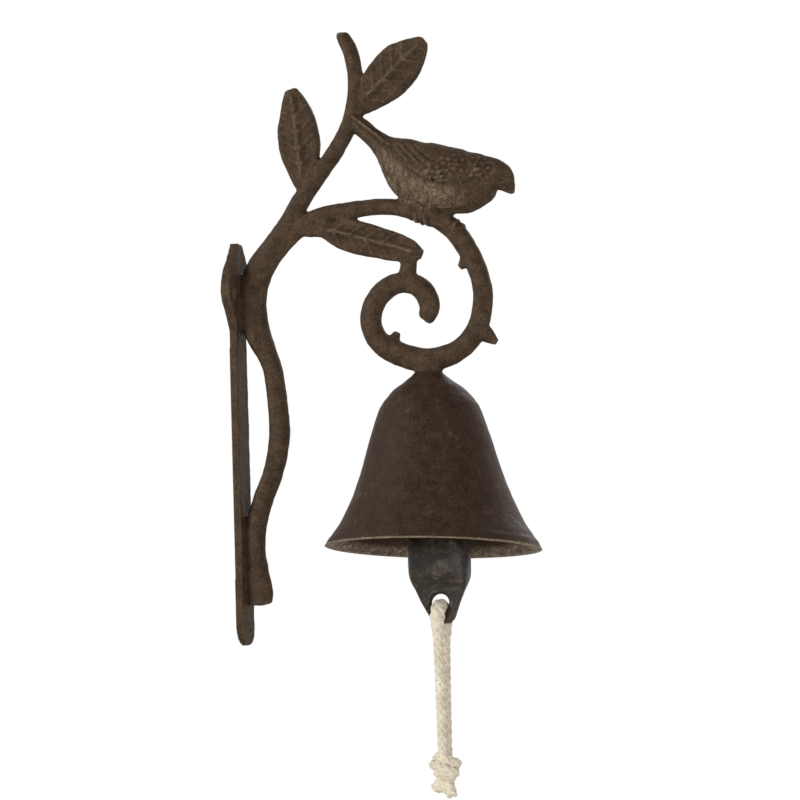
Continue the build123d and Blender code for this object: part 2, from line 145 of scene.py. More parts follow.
def limb(stations, square=2.0, sides=36, step=0.9):
    """Bar in the plane Y = 0: superellipses of the stations' width and depth, square to the line."""
    rows = through(stations, step)
    centre, width, depth = rows[:, :2], rows[:, 2:3], rows[:, 3:4]
    along = np.gradient(centre, axis=0)
    along /= np.linalg.norm(along, axis=1)[:, None]
    angle = np.linspace(0, TAU, sides, endpoint=False)[None]
    across = width / 2 * power(np.cos(angle), square)
    deep = depth / 2 * power(np.sin(angle), square)
    x = centre[:, :1] - along[:, 1:] * across
    z = centre[:, 1:] + along[:, :1] * across
    return capped(np.stack([x, deep, z], -1))


def turned(profile, axis_x, sides=128):
    """Closed lathe skin: a closed loop of (radius, height) turned about a vertical axis."""
    loop = np.asarray(profile, float)
    angle = np.linspace(0, TAU, sides, endpoint=False)
    x = axis_x + loop[:, :1] * np.cos(angle)[None]
    y = loop[:, :1] * np.sin(angle)[None]
    z = np.repeat(loop[:, 1:], sides, 1)
    return np.stack([x, y, z], -1).reshape(-1, 3), quads(len(loop), sides, closed_rows=True).tolist()


def ring(centre, radius, wire, axis, rows=96, sides=24):
    """Torus: a wire's circle carried round the axis at the radius. axis is 'x' or 'y'."""
    u = np.linspace(0, TAU, rows, endpoint=False)[:, None]
    v = np.linspace(0, TAU, sides, endpoint=False)[None]
    reach = radius + wire / 2 * np.cos(v)
    a, b, c = reach * np.cos(u), reach * np.sin(u), wire / 2 * np.sin(v) + 0 * u
    parts = {"x": (c, a, b), "y": (a, c, b)}[axis]
    verts = np.stack(parts, -1).reshape(-1, 3) + np.asarray(centre)
    return verts, quads(rows, sides, closed_rows=True).tolist()


def wire_tube(points, diameter, sides=20):
    """Round wire along points in space, its ring carried on by the least turning frame."""
    p = np.asarray(points, float)
    along = np.gradient(p, axis=0)
    along /= np.linalg.norm(along, axis=1)[:, None]
    normal = np.cross(along[0], (0.3, 0.5, 0.8))
    rings = []
    angle = np.linspace(0, TAU, sides, endpoint=False)[:, None]
    for centre, t in zip(p, along):
        normal = normal - t * np.dot(normal, t)
        normal /= np.linalg.norm(normal)
        side = np.cross(t, normal)
        rings.append(centre + diameter / 2 * (np.cos(angle) * normal + np.sin(angle) * side))
    return capped(np.array(rings))


# Surface relief

def lattice(points, cell, seed):
    """Smooth value noise from -1 to 1: random numbers at the corners of cubes, eased between them."""
    q = np.asarray(points) / cell
    base = np.floor(q).astype(np.int64)
    f = q - base
    f = f * f * (3 - 2 * f)
    total = np.zeros(len(q))
    for dx in (0, 1):
        for dy in (0, 1):
            for dz in (0, 1):
                corner = base + (dx, dy, dz)
                h = (corner[:, 0] * 73856093) ^ (corner[:, 1] * 19349663) ^ (corner[:, 2] * 83492791)
                h = (h ^ (seed * 2654435761)) & 0xFFFFFFFF
                h = (h ^ (h >> 15)) * 2246822519 & 0xFFFFFFFF
                h = (h ^ (h >> 13)) & 0xFFFFFF
                weight = (f[:, 0] if dx else 1 - f[:, 0]) * (f[:, 1] if dy else 1 - f[:, 1])
                weight = weight * (f[:, 2] if dz else 1 - f[:, 2])
                total += weight * (h / 0x7FFFFF - 1)
    return total


def bump(distance, width):
    """Rounded ridge, 1 at no distance and fading over the width."""
    return np.exp(-((distance / width) ** 2))


def fade(value, low, high):
    """Smooth step from 0 at low to 1 at high."""
    t = np.clip((value - low) / (high - low), 0, 1)
    return t * t * (3 - 2 * t)


def from_line(x, z, line):
    """Distance from a broken line in the plane, the side it is on and the share along the line."""
    line = np.asarray(line, float)
    lengths = np.hypot(*np.diff(line, axis=0).T)
    reached = np.concatenate([[0], np.cumsum(lengths)])
    best = np.full(x.shape, 1e9)
    side = np.zeros(x.shape)
    share = np.zeros(x.shape)
    for (ax, az), (bx, bz), length, start in zip(line, line[1:], lengths, reached):
        ux, uz = (bx - ax) / length, (bz - az) / length
        t = np.clip((x - ax) * ux + (z - az) * uz, 0, length)
        gap_x, gap_z = x - ax - t * ux, z - az - t * uz
        d = np.hypot(gap_x, gap_z)
        nearer = d < best
        best = np.where(nearer, d, best)
        side = np.where(nearer, np.sign(ux * gap_z - uz * gap_x), side)
        share = np.where(nearer, (start + t) / reached[-1], share)
    return best, side, share


def read_points(mesh):
    """Vertices and normals of a mesh in millimetres, as arrays."""
    co = np.empty(len(mesh.vertices) * 3)
    mesh.vertices.foreach_get("co", co)
    no = np.empty(len(mesh.vertices) * 3, np.float32)
    mesh.vertices.foreach_get("normal", no)
    return co.reshape(-1, 3) / MM, no.reshape(-1, 3).astype(float)


def relaxed(mesh, points, rounds, pull=0.5, push=-0.53):
    """Taubin smoothing: each point moves towards its neighbours' mean and then a little back."""
    edges = np.empty(len(mesh.edges) * 2, np.int64)
    mesh.edges.foreach_get("vertices", edges)
    a, b = edges.reshape(-1, 2).T
    count = np.bincount(np.concatenate([a, b]), minlength=len(points))[:, None]
    for _ in range(rounds):
        for share in (pull, push):
            mean = np.stack([
                np.bincount(a, points[b, k], len(points)) + np.bincount(b, points[a, k], len(points))
                for k in range(3)
            ], -1) / count
            points = points + share * (mean - points)
    return points


def fused(obj, voxel, rounds):
    """Overlapping skins made one by a voxel remesh, then smoothed."""
    remesh = obj.modifiers.new("fuse", "REMESH")
    remesh.mode = "VOXEL"
    remesh.voxel_size = voxel * MM
    remesh.use_smooth_shade = True
    graph = bpy.context.evaluated_depsgraph_get()
    mesh = bpy.data.meshes.new_from_object(obj.evaluated_get(graph))
    obj.modifiers.clear()
    obj.data = mesh
    points, _ = read_points(mesh)
    points = relaxed(mesh, points, rounds)
    write_points(obj, points)


def write_points(obj, points):
    """Vertices given in millimetres go into the mesh, and its faces are shaded smooth."""
    obj.data.vertices.foreach_set("co", (points * MM).ravel())
    obj.data.shade_smooth()
    obj.data.update()


def cut_by(obj, cutter):
    """Boolean difference, kept in the object's own mesh. The cutter is removed."""
    tool = obj.modifiers.new("cut", "BOOLEAN")
    tool.operation = "DIFFERENCE"
    tool.solver = "EXACT"
    tool.object = cutter
    graph = bpy.context.evaluated_depsgraph_get()
    mesh = bpy.data.meshes.new_from_object(obj.evaluated_get(graph))
    obj.modifiers.clear()
    obj.data = mesh
    bpy.data.objects.remove(cutter)


# Materials

def linear(text):
    """sRGB hex text as linear red, green, blue and alpha 1."""
    levels = [int(text[i:i + 2], 16) / 255 for i in (0, 2, 4)]
    return [v / 12.92 if v <= 0.04045 else ((v + 0.055) / 1.055) ** 2.4 for v in levels] + [1.0]


def add_node(tree, kind, links=None, **settings):
    """Adds a node, sets its properties or input values, and links the named inputs to sockets."""
    node = tree.nodes.new(kind)
    for key, value in settings.items():
        if hasattr(node, key):
            setattr(node, key, value)
        else:
            node.inputs[key.replace("_", " ")].default_value = value
    for key, source in (links or {}).items():
        tree.links.new(source, node.inputs[key])
    return node


def shaded(name):
    """New material with its tree, Principled shader and Object coordinates."""
    material = bpy.data.materials.new(name)
    material.use_nodes = True
    tree = material.node_tree
    shader = tree.nodes["Principled BSDF"]
    coords = tree.nodes.new("ShaderNodeTexCoord").outputs["Object"]
    return material, tree, shader, coords


def per_mm(size):
    """Texture scale for features of a size in millimetres on Object coordinates in metres."""
    return 1 / (size * MM)


def ramp(tree, source, stops):
    """Colour ramp over (place, hex colour) stops."""
    node = add_node(tree, "ShaderNodeValToRGB", {"Fac": source})
    while len(node.color_ramp.elements) < len(stops):
        node.color_ramp.elements.new(0.5)
    for element, (place, colour) in zip(node.color_ramp.elements, stops):
        element.position = place
        element.color = linear(colour)
    return node.outputs["Color"]


def mapped(tree, source, low, high, to_low=0.0, to_high=1.0):
    """Value mapped from low..high to to_low..to_high, held at the ends."""
    node = add_node(tree, "ShaderNodeMapRange", {"Value": source})
    for key, value in (("From Min", low), ("From Max", high), ("To Min", to_low), ("To Max", to_high)):
        node.inputs[key].default_value = value
    return node.outputs[0]


def blended(tree, share, first, second, blend="MIX"):
    """Two colours mixed by a share. Each of the three may be a socket or a plain value."""
    node = add_node(tree, "ShaderNodeMix", data_type="RGBA", blend_type=blend)
    for index, value in ((0, share), (6, first), (7, second)):
        if isinstance(value, bpy.types.NodeSocket):
            tree.links.new(value, node.inputs[index])
        else:
            node.inputs[index].default_value = value
    return node.outputs[2]


def cast_iron(name, dark, mid, light, rust, pale_wear_and_light, rough=0.6, specular=0.08):
    """Sand-cast iron, browned and waxed: a matt brown skin with fine sand pits, cloudy darker and
    rustier patches a few millimetres across, painted shade in the hollows, and sharp ridges made
    paler, partly as rubbed wear and partly as painted highlight. A float attribute of the mesh says
    how far each place goes towards the pale colour: high places of the relief rubbed lighter as
    wear, and some places painted lighter as painted light."""
    material, tree, shader, coords = shaded(name)
    cloud = add_node(tree, "ShaderNodeTexNoise", {"Vector": coords}, Scale=per_mm(4.5), Detail=5.0)
    speck = add_node(tree, "ShaderNodeTexNoise", {"Vector": coords}, Scale=per_mm(0.85), Detail=3.0)
    spots = add_node(tree, "ShaderNodeTexNoise", {"Vector": coords}, Scale=per_mm(0.95), Detail=3.0)
    rusty = add_node(tree, "ShaderNodeTexNoise", {"Vector": coords}, Scale=per_mm(3.8), Detail=4.0)
    pits = add_node(tree, "ShaderNodeTexVoronoi", {"Vector": coords}, Scale=per_mm(1.3))
    cloudy = add_node(tree, "ShaderNodeMath", {0: cloud.outputs["Fac"], 1: speck.outputs["Fac"]},
                      operation="ADD").outputs[0]
    base = ramp(tree, mapped(tree, cloudy, 0.7, 1.3), [(0.0, dark), (0.5, mid), (1.0, light)])
    stained = blended(tree, mapped(tree, rusty.outputs["Fac"], 0.55, 0.75, 0.0, 0.55), base, linear(rust))
    # This attribute holds rubbed wear on high places, and painted light on the bird's belly and inside the
    # bell's mouth.
    height = add_node(tree, "ShaderNodeAttribute", attribute_name="wear_and_painted_light").outputs["Fac"]
    fleck = mapped(tree, speck.outputs["Fac"], 0.35, 0.6, 0.35, 1.0)
    flecked = add_node(tree, "ShaderNodeMath", {0: height, 1: fleck}, operation="MULTIPLY")
    wear_and_painted_light = blended(tree, flecked.outputs[0], stained, linear(pale_wear_and_light))
    point = add_node(tree, "ShaderNodeNewGeometry").outputs["Pointiness"]
    # Painted highlight, partly rubbed wear too: sharp ridges and edges, found by pointiness, turned towards
    # the pale colour.
    ridge_wear_and_highlight = blended(tree, mapped(tree, point, 0.52, 0.62, 0.0, 0.5), wear_and_painted_light, linear(pale_wear_and_light))
    # Painted shade: hollows and creases, found by pointiness, darkened.
    hollow_shade = blended(tree, 1.0, ridge_wear_and_highlight, mapped(tree, point, 0.42, 0.49, 0.3, 1.0), "MULTIPLY")
    spot = mapped(tree, spots.outputs["Fac"], 0.36, 0.52, 0.72, 1.05)
    spotted = blended(tree, 1.0, hollow_shade, spot, "MULTIPLY")
    tree.links.new(spotted, shader.inputs["Base Color"])
    uneven = mapped(tree, cloudy, 0.7, 1.3, rough - 0.08, rough + 0.12)
    tree.links.new(uneven, shader.inputs["Roughness"])
    shader.inputs["Specular IOR Level"].default_value = specular
    sand = add_node(tree, "ShaderNodeBump", {"Height": speck.outputs["Fac"]}, Strength=0.5, Distance=0.3 * MM)
    pitted = add_node(tree, "ShaderNodeBump", {"Height": pits.outputs["Distance"], "Normal": sand.outputs[0]},
                      Strength=0.3, Distance=0.2 * MM)
    tree.links.new(pitted.outputs[0], shader.inputs["Normal"])
    return material


iron_brown = cast_iron("browned_cast_iron", "31261C", "453629", "574737", "4C3424", "95836E")
iron_bell = cast_iron("browned_cast_iron_bell", "251A13", "35271C", "443428", "3C2618", "A8967F", rough=0.55)
iron_clapper = cast_iron("rubbed_cast_iron", "1B150F", "2B221A", "40352A", "322318", "6F6557", rough=0.4,
                         specular=0.32)


def mark_wear_and_painted_light(obj, share):
    """Writes a share from 0 to 1 for each vertex into the mesh's attribute: how far the colour goes towards
    the pale colour, for rubbed wear and, where given, for painted light.
    """
    layer = obj.data.attributes.new("wear_and_painted_light", "FLOAT", "POINT")
    layer.data.foreach_set("value", np.clip(share, 0, 1).astype(np.float32))


def zinc_plate(name):
    """Dull zinc plated steel: grey metal gone cloudy, with finger-width darker blooms."""
    material, tree, shader, coords = shaded(name)
    cloud = add_node(tree, "ShaderNodeTexNoise", {"Vector": coords}, Scale=per_mm(3), Detail=6.0)
    base = ramp(tree, cloud.outputs["Fac"], [(0.35, "6F6C66"), (0.65, "A5A29A")])
    tree.links.new(base, shader.inputs["Base Color"])
    shader.inputs["Metallic"].default_value = 1.0
    rough = mapped(tree, cloud.outputs["Fac"], 0.0, 1.0, 0.32, 0.58)
    tree.links.new(rough, shader.inputs["Roughness"])
    return material


zinc = zinc_plate("zinc_plated_steel")


def cotton_yarn(name):
    """Natural unbleached cotton: off-white yarn with fine fibres along it, darkened in its hollows as painted
    shade.
    """
    material, tree, shader, coords = shaded(name)
    fibre = add_node(tree, "ShaderNodeTexNoise", {"Vector": coords}, Scale=per_mm(0.35), Detail=3.0)
    cloud = add_node(tree, "ShaderNodeTexNoise", {"Vector": coords}, Scale=per_mm(5), Detail=3.0)
    base = ramp(tree, cloud.outputs["Fac"], [(0.3, "CBBFA8"), (0.7, "E2D8C4")])
    point = add_node(tree, "ShaderNodeNewGeometry").outputs["Pointiness"]
    # Painted shade: the hollows between yarns, found by pointiness, darkened.
    hollow_shade = mapped(tree, point, 0.42, 0.51, 0.34)
    tree.links.new(blended(tree, 1.0, base, hollow_shade, "MULTIPLY"), shader.inputs["Base Color"])
    shader.inputs["Roughness"].default_value = 0.85
    shader.inputs["Sheen Weight"].default_value = 0.25
    fuzz = add_node(tree, "ShaderNodeBump", {"Height": fibre.outputs["Fac"]}, Strength=0.6,
                    Distance=0.25 * MM)
    tree.links.new(fuzz.outputs[0], shader.inputs["Normal"])
    return material


cotton = cotton_yarn("natural_cotton")


# The bracket casting: stations of x, z, width and depth along each limb

stem = [
    (8.6, -67.6, 8.8, 8.0), (8.3, -63.5, 11.2, 9.2), (7.4, -55.0, 10.2, 9.2), (6.6, -46.0, 9.0, 9.2),
    (7.4, -35.0, 8.8, 9.2), (10.8, -24.0, 8.4, 9.2), (15.4, -13.0, 8.4, 9.2), (18.3, -1.0, 8.7, 9.2),
    (18.7, 10.0, 8.7, 9.2), (17.0, 28.0, 8.1, 9.2), (14.2, 37.0, 8.6, 9.2), (11.1, 44.0, 10.4, 10.6),
    (8.8, 52.0, 11.8, 10.4), (8.6, 62.0, 12.0, 10.4), (11.6, 72.2, 12.0, 10.4), (18.6, 81.6, 10.8, 9.2),
    (25.5, 90.5, 9.8, 9.2), (30.9, 100.4, 7.8, 8.0), (39.0, 110.7, 7.1, 7.4), (46.8, 120.5, 7.0, 7.2),
    (53.0, 131.0, 6.9, 7.0), (56.0, 143.0, 6.6, 6.6), (56.2, 153.0, 6.5, 6.4), (54.6, 161.5, 6.6, 6.2),
    (52.2, 166.8, 6.2, 5.6), (50.9, 169.6, 5.0, 4.8), (50.4, 170.7, 3.4, 3.4),
]
left_leaf = [
    (34.2, 103.4, 5.0, 5.0), (32.4, 108.2, 8.2, 6.0), (31.8, 114.4, 13.2, 6.0), (31.2, 122.0, 17.4, 6.0),
    (30.4, 130.2, 17.4, 6.0), (29.9, 137.0, 14.4, 6.0), (28.6, 144.0, 9.2, 5.0), (27.7, 147.9, 4.8, 3.8),
]
top_leaf = [
    (56.0, 137.0, 7.0, 4.6), (60.0, 140.4, 11.2, 6.0), (65.0, 144.8, 16.2, 6.0), (70.6, 149.7, 19.2, 6.0),
    (77.0, 155.4, 18.6, 6.0), (82.0, 159.6, 13.4, 5.4), (85.8, 162.9, 7.0, 4.4), (87.2, 164.0, 3.6, 3.2),
]
# The roots from the wall, and the rest from the bell's axis and seat
scroll_root = [(26.0, 88.4, 8.0, 7.4)]
low_leaf_root = [(26.0, 89.4, 5.6, 5.4), (33.0, 88.2, 6.0, 5.6)]
fillet = [(17.0, 76.6, 7.0, 8.0), (24.2, 84.2, 7.2, 7.6), (30.0, 88.2, 6.4, 6.0), (35.0, 88.7, 5.6, 5.4)]
tail_end = [(54.4, 134.2, 3.4, 5.0), (57.9, 130.1, 7.6, 8.2)]
scroll = [
    (-45.2, 68.8, 7.9, 7.8), (-29.0, 70.8, 7.0, 7.6), (-13.7, 70.6, 6.9, 7.8),
    (1.8, 65.9, 7.8, 8.8), (11.8, 59.9, 8.5, 8.8), (18.7, 50.2, 8.6, 8.8), (23.6, 38.7, 8.0, 8.8),
    (24.6, 27.7, 8.3, 8.8), (21.3, 16.3, 8.8, 8.8), (13.0, 8.3, 9.0, 8.8), (0.0, 5.3, 9.8, 8.8),
    (-12.7, 8.9, 10.0, 8.8), (-21.3, 15.1, 9.2, 8.8), (-24.4, 23.4, 9.0, 8.8), (-21.8, 31.9, 9.1, 8.8),
    (-15.0, 37.6, 8.8, 8.8), (-7.2, 38.2, 8.7, 8.8), (-1.0, 34.3, 8.9, 8.6), (1.3, 28.1, 8.8, 8.2),
    (0.1, 23.5, 7.4, 7.0), (-0.9, 21.9, 4.8, 4.6),
]
low_leaf = [
    (-44.6, 63.4, 6.8, 6.0), (-36.4, 61.3, 12.8, 6.0), (-29.0, 58.9, 13.8, 6.0),
    (-19.6, 55.9, 13.0, 6.0), (-11.6, 53.3, 11.8, 6.0), (-5.4, 51.1, 8.8, 5.2), (-1.4, 49.6, 3.8, 3.4),
]
neck = [(-6.7, 52.2, 6.4, 6.0), (-7.1, 46.7, 6.9, 6.4), (-8.4, 38.2, 8.0, 7.0)]
thorns = [
    [(19.9, 47.2, 8.0, 6.4), (17.0, 44.7, 5.2, 4.6), (15.0, 42.9, 2.4, 2.4)],
    [(21.4, 17.7, 9.6, 7.4), (26.4, 13.6, 6.4, 5.2), (30.1, 10.5, 2.4, 2.4)],
    [(-17.0, 11.3, 9.0, 7.0), (-14.6, 14.9, 5.4, 5.0), (-13.0, 17.9, 2.6, 2.6)],
]
bird = [
    (-21.3, 100.6, 7.8, 8.4), (-15.8, 95.6, 11.4, 11.6), (-9.6, 90.4, 20.2, 16.6),
    (-2.6, 84.8, 26.6, 20.6), (7.4, 80.7, 28.2, 22.0), (17.9, 78.8, 26.6, 20.6), (25.9, 79.5, 21.6, 17.6),
    (31.6, 79.9, 15.0, 13.4), (34.9, 78.3, 11.2, 9.6), (37.2, 75.4, 6.4, 5.2), (38.6, 73.2, 3.2, 3.0),
    (38.9, 72.2, 1.6, 1.6),
]


def from_seat(stations):
    """Stations given from the bell's axis and seat, in the frame."""
    return [(bell_x + x, seat_z + z, width, depth) for x, z, width, depth in stations]


def plate(outline, thick, edge, steps=4):
    """Flat plate on the wall: an outline of (y, z) run out along X, its front edge rounded over."""
    loop = np.asarray(outline, float)
    ahead, back = np.roll(loop, -1, 0), np.roll(loop, 1, 0)
    along = ahead - back
    along /= np.linalg.norm(along, axis=1)[:, None]
    inward = np.stack([-along[:, 1], along[:, 0]], -1)
    if np.sum((loop.mean(0) - loop) * inward) < 0:
        inward = -inward
    rings = [np.concatenate([np.zeros((len(loop), 1)), loop], 1)]
    for turn in np.linspace(0, math.pi / 2, steps):
        x = thick - edge + edge * math.sin(turn)
        moved = loop + inward * edge * (1 - math.cos(turn))
        rings.append(np.concatenate([np.full((len(loop), 1), x), moved], 1))
    return capped(np.array(rings))


bracket_low, bracket_high = node_box("bracket")
strip_low, strip_top = bracket_low[2], -bracket_low[2]
tongue_r = 7.6
tongue_z = strip_low + tongue_r
arc = np.linspace(0, -math.pi, 25)
tongue = [(tongue_r * math.cos(t), tongue_z + tongue_r * math.sin(t)) for t in arc]
strip_outline = tongue + [(-7.3, -40.0), (-7.0, 10.0), (-6.7, 60.0), (6.7, 60.0), (7.0, 10.0), (7.3, -40.0)]
pad_side = [
    (2.6, strip_top), (7.2, 78.4), (13.7, 71.0), (16.3, 64.0), (15.2, 58.5), (10.8, 53.5), (6.5, 47.0),
]
pad_right = through(pad_side, 1.5)
pad_outline = np.concatenate([pad_right, pad_right[::-1] * (-1, 1)])


def rod(centre, direction, radius, length, sides=48):
    """Round rod through a point along 'x' or 'y', for cutting holes."""
    angle = np.linspace(0, TAU, sides, endpoint=False)
    a, b = radius * np.cos(angle), radius * np.sin(angle)
    ends = []
    for end in (-length / 2, length / 2):
        c = np.full(sides, end)
        ends.append(np.stack({"x": (c, a, b), "y": (a, c, b)}[direction], -1))
    verts, faces = capped(np.array(ends) + np.asarray(centre))
    return verts, outward(verts, faces)


# Round boss under the scroll, on which the bell seats
boss_r, boss_height = 5.9, 6.0
boss_turn = np.linspace(0, TAU, 48, endpoint=False)
boss_x, boss_y = bell_x + boss_r * np.cos(boss_turn), boss_r * np.sin(boss_turn)
boss_rings = np.array([
    np.column_stack([boss_x, boss_y, np.full(len(boss_turn), z)]) for z in (seat_z, seat_z + boss_height)
])

casting = piece_from("branch_bracket", *merged([
    plate(strip_outline, 3.1, 0.4),
    plate(pad_outline, 3.7, 0.5),
    limb(stem),
    limb(fillet),
    limb(left_leaf, square=4.0),
    limb(top_leaf, square=4.0),
    limb(scroll_root + from_seat(scroll)),
    limb(low_leaf_root + from_seat(low_leaf), square=4.0),
    limb(from_seat(neck)),
    limb(tail_end + from_seat(bird)),
    capped(boss_rings),
] + [limb(from_seat(t)) for t in thorns]))
screw_r = 2.3
screw_places = [(10.0, 62.0), (-10.0, 62.0), (0.0, tongue_z)]
voxel = 0.62
fused(casting, voxel, 6)


# Relief of the casting

def leaf_relief(x, z, line, half_width, vein_starts, lean):
    """Leaf face: a raised midrib, side veins leaning towards the tip, and hollows between them."""
    gap, _, share = from_line(x, z, line)
    length = np.sum(np.hypot(*np.diff(np.asarray(line), axis=0).T))
    reach = gap / half_width
    inside = 1 - fade(reach, 0.70, 0.95)
    ends = fade(share, 0.10, 0.25) * (1 - fade(share, 0.90, 0.99))
    relief = 0.70 * bump(gap, 0.8)
    for start in vein_starts:
        off = (share - start - lean * gap / length) * length
        relief += 0.85 * bump(off, 0.75) * fade(gap, 0.2, 1.0) * (1 - 0.4 * reach)
    relief -= 0.60 * fade(reach, 0.05, 0.3) * (1 - fade(reach, 0.6, 0.9))
    return relief * inside * ends * (reach < 1)


bird_eye = (115.4, 107.1)


def bird_relief(x, z):
    """Bird's sides: long wing feathers, rows of scales, tail ridges, an eye in its ring and a beak
    line. Places are in the frame."""
    relief = np.zeros(len(x))
    eye = np.hypot(x - bird_eye[0], z - bird_eye[1])
    wing_low = [(72.6, 121.0), (76.3, 114.9), (80.6, 109.8), (86.1, 106.2), (90.5, 104.0), (99.9, 101.5),
                (108.2, 99.9)]
    gap, side, share = from_line(x, z, wing_low)
    above = (side > 0) & (share < 0.999)
    relief += 0.6 * (1 - fade(gap, 0.0, 9.0)) * above * fade(share, 0.0, 0.1) * (1 - fade(share, 0.6, 0.95))
    for start, end in (((72.9, 120.5), (81.7, 109.7)), ((75.4, 120.3), (86.2, 108.9)),
                       ((78.7, 120.1), (89.5, 108.6)), ((83.1, 118.7), (92.9, 110.5))):
        g, _, s = from_line(x, z, [start, end])
        relief -= 0.75 * bump(g, 0.55) * fade(s, 0.0, 0.1) * (1 - fade(s, 0.75, 1.0))
    in_scales = fade(x, 86, 91) * (1 - fade(x, 117, 121)) * fade(z, 100, 103) * (1 - fade(z, 112, 115))
    row = 2.5
    flat = np.stack([x, 0 * x, z], -1)
    u = (x + 1.3 * lattice(flat, 3.6, 51)) / (row * 1.25)
    v = (z + 1.0 * lattice(flat, 4.1, 53)) / row
    v_cell = np.floor(v)
    du = u + 0.5 * (v_cell % 2)
    du = du - np.floor(du) - 0.5
    dv = v - v_cell
    scale = np.sqrt((du / 0.55) ** 2 + ((dv - 0.9) / 0.95) ** 2)
    uneven = 0.55 + 0.35 * lattice(flat, 1.9, 57)
    scales = uneven * (1 - fade(scale, 0.4, 1.1)) - 0.2 + 0.3 * lattice(flat, 1.1, 59)
    relief += in_scales * scales * fade(eye, 2.2, 4.0)
    for start, end in (((55.5, 134.0), (72.1, 120.6)), ((58.6, 131.2), (69.5, 121.8))):
        g, _, s = from_line(x, z, [start, end])
        relief += 0.4 * bump(g, 0.5) - 0.45 * bump(g - 1.1, 0.5)
    relief += 0.35 * bump(eye, 0.8) - 0.45 * bump(eye - 1.4, 0.5) + 0.25 * bump(eye - 2.4, 0.5)
    mouth, _, along = from_line(x, z, [(117.6, 100.2), (121.2, 99.6), (123.4, 97.6)])
    relief -= 0.4 * bump(mouth, 0.4) * fade(along, 0.0, 0.2)
    return relief


casting_points, casting_normals = read_points(casting.data)
cx, cy, cz = casting_points.T
facing = fade(np.abs(casting_normals[:, 1]), 0.35, 0.8)
lift = 0.13 * lattice(casting_points, 4.2, 3) + 0.10 * lattice(casting_points, 1.7, 5)
left_line = [s[:2] for s in left_leaf]
top_line = [s[:2] for s in top_leaf]
low_line = [s[:2] for s in low_leaf_root[1:] + from_seat(low_leaf)]
lift += facing * leaf_relief(cx, cz, left_line, 8.6, (0.12, 0.27, 0.42, 0.57, 0.72), 0.75)
lift += facing * leaf_relief(cx, cz, top_line, 9.2, (0.14, 0.28, 0.42, 0.56, 0.70), 0.8)
lift += facing * leaf_relief(cx, cz, low_line, 6.6, (0.10, 0.24, 0.38, 0.52, 0.66), 0.9)
bird_line = [s[:2] for s in tail_end + from_seat(bird)]
bird_gap, _, bird_share = from_line(cx, cz, bird_line)
on_bird = (np.abs(cy) > 1.5) & (cz > 92) & (bird_gap < 14.5) & (cx > 54)
lift += on_bird * fade(np.abs(casting_normals[:, 1]), 0.15, 0.45) * bird_relief(cx, cz)
strokes = lattice(np.stack([cx * 1.1, cy, cz * 0.35], -1), 0.9, 11)
lift += on_bird * (bird_share > 0.2) * 0.16 * strokes
bark = fade(cx, 74, 80) * (1 - fade(cx, 101, 106)) * fade(cz, 83, 86) * (1 - fade(cz, 95.0, 98.0))
lift += bark * 0.5 * lattice(casting_points, 2.2, 23)
for toe_x, toe_lean in ((81.6, 0.3), (84.0, 0.1), (86.2, -0.1), (99.0, 0.2), (101.6, 0.0)):
    toe_z = 87.8 if toe_x < 90 else 85.6
    across = cx - toe_x - toe_lean * (cz - toe_z)
    lift += 0.9 * bump(across, 0.75) * bump(cz - toe_z, 2.6) * (np.abs(cy) > 0.5)
wall_side = casting_points[:, 0] < 0.9
lift[wall_side] *= 0.15
casting_points += casting_normals * lift[:, None]
casting_points[:, 0] = np.maximum(casting_points[:, 0], 0.0)
casting_points[:, 2] = np.minimum(casting_points[:, 2], bracket_high[2])
write_points(casting, casting_points)
wing_edge = [(66.0, 124.0), (76.3, 114.9), (86.1, 106.2), (99.9, 101.5), (110.0, 99.5)]
wing_gap, wing_side, _ = from_line(cx, cz, wing_edge)
# The bird's belly is made paler: partly a paler worn patina, partly painted light where light falls from
# below.
belly_wear_and_light = on_bird * (wing_side < 0) * fade(wing_gap, 0.5, 3.0) * fade(cx, 62, 70) * (1 - fade(cx, 97, 110))
mark_wear_and_painted_light(casting, fade(lift, 0.35, 1.1) * 0.3 + belly_wear_and_light * (0.30 + 0.4 * strokes))
holes = merged([rod((1.5, y, z), "x", screw_r, 12.0) for y, z in screw_places])
cut_by(casting, piece_from("screw_hole_cutter", *holes))
casting.data.shade_smooth()
casting.data.materials.append(iron_brown)
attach(casting, "bracket")
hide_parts("bracket")


# Bell

mouth_r = 44.95
height = 73.0
wall = 3.2
outer_shares = [
    (0.1311, 0.0), (0.160, 0.019), (0.231, 0.055), (0.324, 0.096), (0.404, 0.151), (0.458, 0.200),
    (0.502, 0.268), (0.549, 0.356), (0.607, 0.479), (0.669, 0.601), (0.733, 0.707), (0.807, 0.808),
    (0.873, 0.882), (0.949, 0.947), (1.000, 1.000),
]


